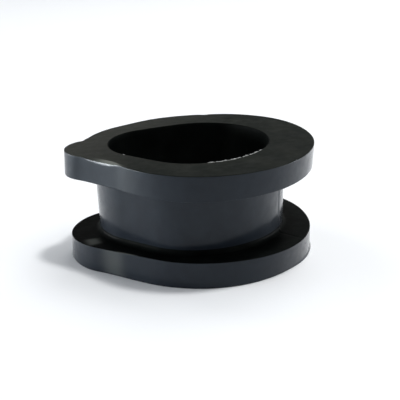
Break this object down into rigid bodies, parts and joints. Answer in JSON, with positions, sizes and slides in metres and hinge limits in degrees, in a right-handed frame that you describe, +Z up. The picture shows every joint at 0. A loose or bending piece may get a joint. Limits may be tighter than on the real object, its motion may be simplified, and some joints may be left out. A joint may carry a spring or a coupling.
{
  "type": "rubber gasket",
  "caption": "Egg-shaped rubber gasket: a sleeve with a flange at each end, the upper one with a rounded tab, and a groove between them that grips the edge of a panel around its bore.",
  "frame": {"origin": "middle of the bounding box, on the underside of the lower flange", "axes": "+Z up out of the bore, from the lower flange to the upper; -X along the line of the tab and of the lower flange's point; the bore's own tip is turned 9 degrees from -X toward +Y"},
  "size_m": [0.061, 0.0528, 0.0276],
  "materials": {
    "rubber": "matte black moulded rubber, satin on the sides"
  },
  "bodies": {
    "root": {"gasket": "rubber"}
  },
  "joints": []
}
